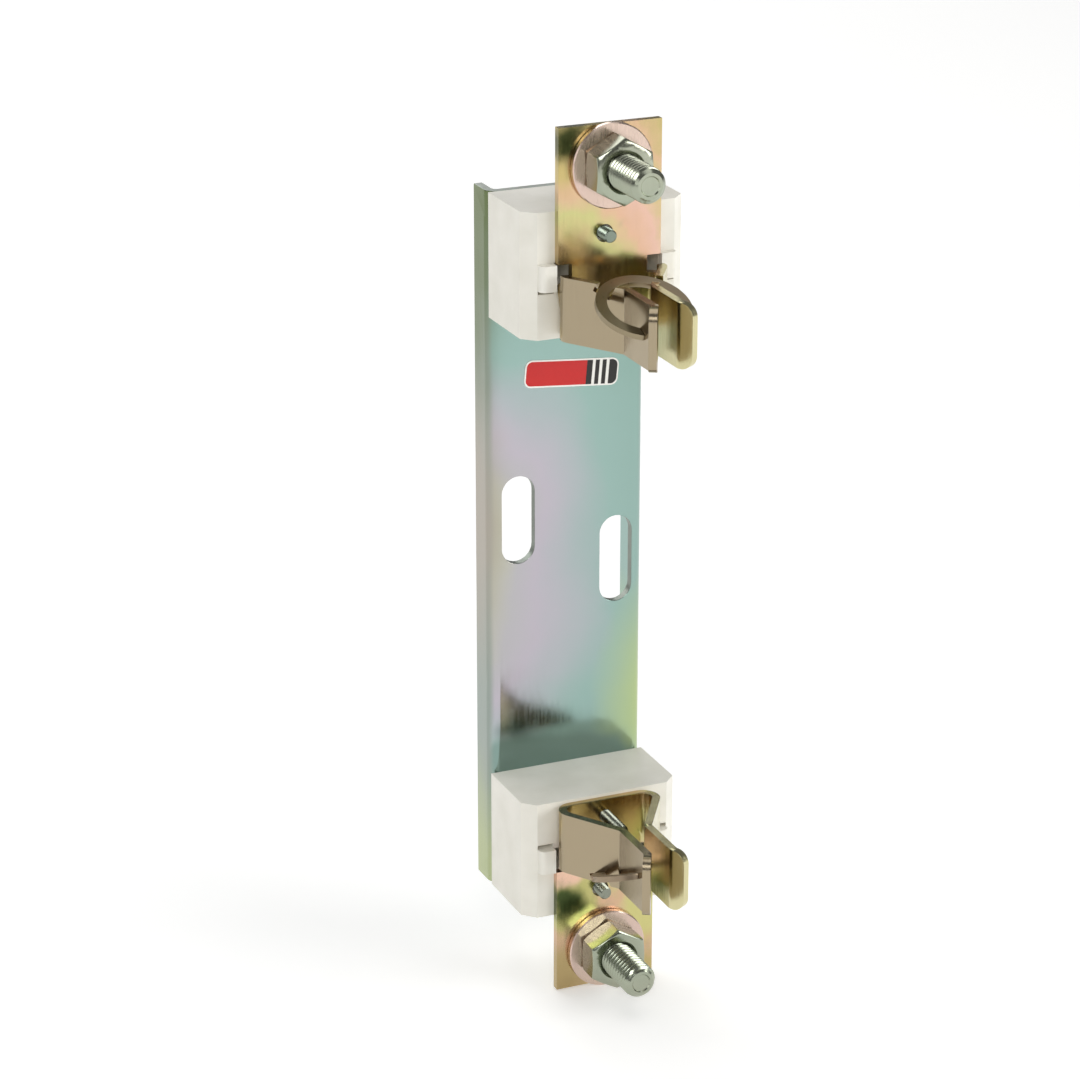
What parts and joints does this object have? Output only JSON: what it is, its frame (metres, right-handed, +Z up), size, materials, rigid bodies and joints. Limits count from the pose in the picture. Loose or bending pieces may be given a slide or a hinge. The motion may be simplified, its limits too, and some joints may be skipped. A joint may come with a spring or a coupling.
{
  "type": "fuse base",
  "caption": "Single pole open fuse base for blade type fuse links: bent steel channel, moulded insulators, lyre contacts with spring rings, and bolt terminals.",
  "frame": {"origin": "centre of the mounting plane that the channel's two rear edges lie in", "axes": "+Z up along the channel, the front faces -Y, +X to the right seen from the front"},
  "size_m": [0.0382, 0.0636, 0.2048],
  "materials": {
    "blue_zinc_steel": "zinc plated, blue passivated with a rainbow tint",
    "moulded_block": "off-white moulded thermoset, low gloss",
    "yellow_passivated_strip": "plated and yellow passivated, pink and green tints",
    "spring_steel": "zinc plated spring steel, taupe",
    "zinc_fastener": "bright zinc plated",
    "yellow_passivated_washer": "zinc plated, yellow passivated",
    "rear_screw": "bright zinc plated",
    "label": "glossy printed sticker"
  },
  "bodies": {
    "root": {"base_channel": "blue_zinc_steel", "upper_insulator": "moulded_block", "lower_insulator": "moulded_block", "upper_contact": "yellow_passivated_strip", "lower_contact": "yellow_passivated_strip", "upper_spring_ring": "spring_steel", "lower_spring_ring": "spring_steel", "upper_terminal_bolt": "zinc_fastener", "lower_terminal_bolt": "zinc_fastener", "upper_contact_screw": "rear_screw", "lower_contact_screw": "rear_screw", "upper_block_screw": "rear_screw", "lower_block_screw": "rear_screw", "upper_contact_screw_washer": "rear_screw", "lower_contact_screw_washer": "rear_screw", "upper_block_screw_washer": "rear_screw", "lower_block_screw_washer": "rear_screw", "front_label": "label"},
    "upper_washer_body": {"upper_flat_washer": "yellow_passivated_washer"},
    "lower_washer_body": {"lower_flat_washer": "yellow_passivated_washer"},
    "upper_nut_body": {"upper_terminal_nut": "zinc_fastener"},
    "lower_nut_body": {"lower_terminal_nut": "zinc_fastener"}
  },
  "joints": [
    {"name": "upper_nut_travel", "type": "slide", "parent": "root", "child": "upper_washer_body", "axis": [0, -1, 0], "range_m": [0, 0.01]},
    {"name": "upper_nut_turn", "type": "hinge", "parent": "upper_washer_body", "child": "upper_nut_body", "pos_m": [0, -0.03545, 0.093], "axis": [0, -1, 0], "range_deg": [0, 2880]},
    {"name": "lower_nut_travel", "type": "slide", "parent": "root", "child": "lower_washer_body", "axis": [0, -1, 0], "range_m": [0, 0.01]},
    {"name": "lower_nut_turn", "type": "hinge", "parent": "lower_washer_body", "child": "lower_nut_body", "pos_m": [0, -0.03545, -0.093], "axis": [0, -1, 0], "range_deg": [0, 2880]}
  ],
  "couplings": [
    {"joint": "upper_nut_travel", "follows": "upper_nut_turn", "m_per_rad": 0.00019894},
    {"joint": "lower_nut_travel", "follows": "lower_nut_turn", "m_per_rad": 0.00019894}
  ]
}
